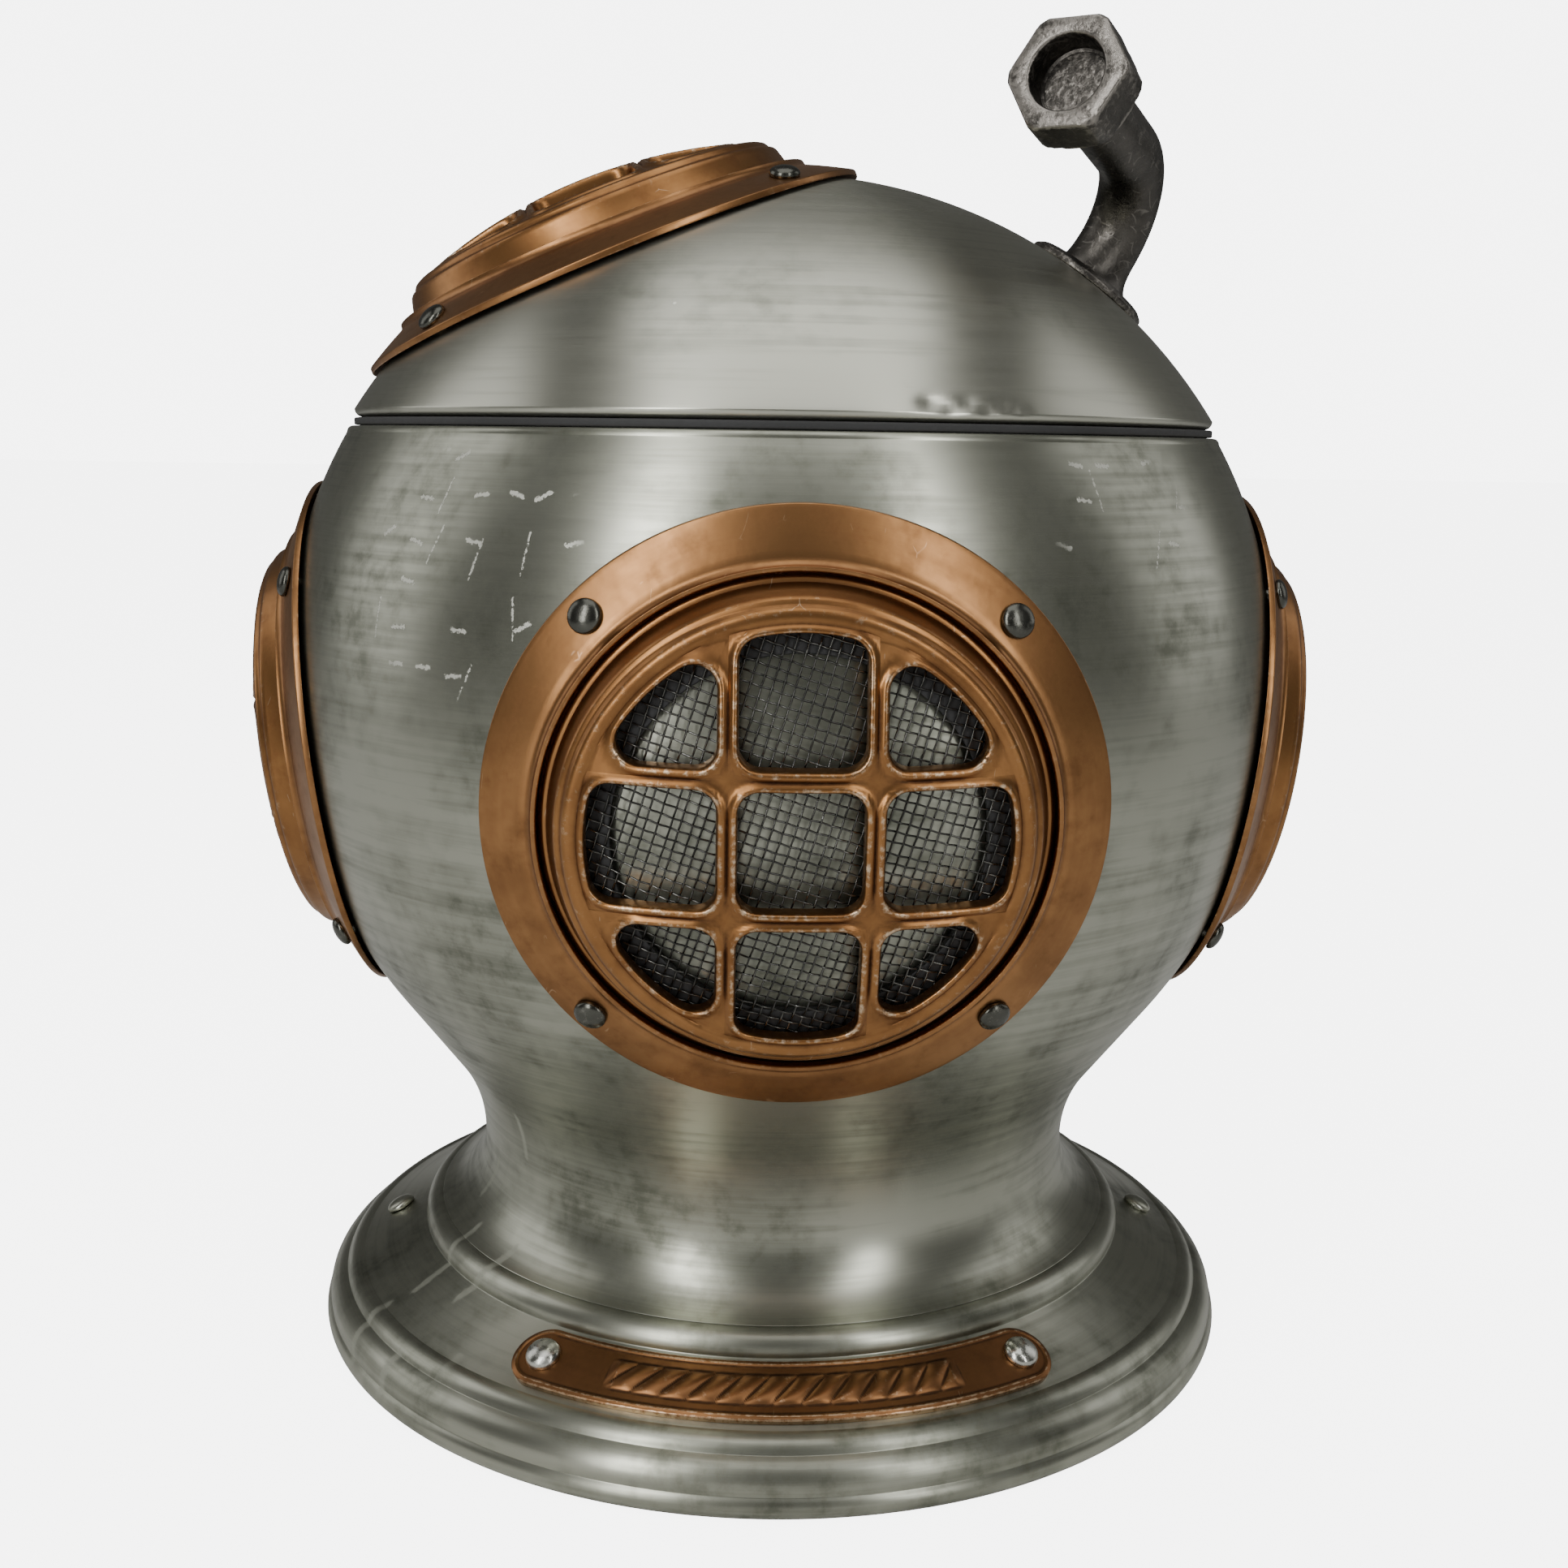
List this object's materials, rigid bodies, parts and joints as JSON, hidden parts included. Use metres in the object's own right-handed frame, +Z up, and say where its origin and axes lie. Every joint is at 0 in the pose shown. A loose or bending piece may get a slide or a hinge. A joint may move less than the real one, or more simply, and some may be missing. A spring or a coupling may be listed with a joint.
{
  "type": "diving helmet ice bucket",
  "caption": "Ice bucket in the form of a deep-sea diving helmet, with a lift-off domed lid, grilled ports, an elbow pipe and a stepped foot.",
  "frame": {"origin": "middle of the foot pad's underside, on the table", "axes": "+Z up along the axis the foot, neck, bowl and lid are turned about; the front port and name plate face -Y; +X is to the right of someone facing the front port"},
  "size_m": [0.18, 0.175, 0.2175],
  "materials": {
    "spun_metal": "brushed, lightly tarnished",
    "bronze": "antique copper bronze, satin",
    "wire_mesh": "dull woven wire",
    "rivet_steel": "dark mottled",
    "plate_rivet": "bright worn",
    "gunmetal": "near black, worn at the edges",
    "zinc_steel": "zinc plated",
    "seal_rubber": "matte",
    "liner_plastic": "smooth",
    "foam": "closed cell",
    "felt": "pressed felt"
  },
  "bodies": {
    "bucket": {"bowl_shell": "spun_metal", "foot_ring": "spun_metal", "bottom_cover": "spun_metal", "felt_pad": "felt", "ice_liner": "liner_plastic", "body_insulation": "foam", "name_plate": "bronze", "name_plate_rivets": "plate_rivet", "foot_studs": "spun_metal", "foot_rivets": "zinc_steel", "front_port_flange": "bronze", "front_port_grille": "bronze", "front_port_gasket": "seal_rubber", "front_port_mesh": "wire_mesh", "front_port_rivets": "rivet_steel", "left_port_flange": "bronze", "left_port_grille": "bronze", "left_port_gasket": "seal_rubber", "left_port_mesh": "wire_mesh", "left_port_rivets": "rivet_steel", "right_port_flange": "bronze", "right_port_grille": "bronze", "right_port_gasket": "seal_rubber", "right_port_mesh": "wire_mesh", "right_port_rivets": "rivet_steel"},
    "seal": {"lid_seal": "seal_rubber"},
    "lid": {"lid_shell": "spun_metal", "lid_plug": "liner_plastic", "lid_plug_rim": "liner_plastic", "lid_insulation": "foam", "top_port_flange": "bronze", "top_port_grille": "bronze", "top_port_gasket": "seal_rubber", "top_port_mesh": "wire_mesh", "top_port_rivets": "rivet_steel", "air_pipe": "gunmetal", "pipe_nut": "gunmetal", "pipe_washer": "zinc_steel", "pipe_screw": "zinc_steel"}
  },
  "joints": [
    {"name": "lid_turn", "type": "hinge", "parent": "bucket", "child": "seal", "pos_m": [0, 0, 0.1572], "axis": [0, 0, 1], "continuous": true},
    {"name": "lid_lift", "type": "slide", "parent": "seal", "child": "lid", "axis": [0, 0, 1], "range_m": [0, 0.1]}
  ]
}
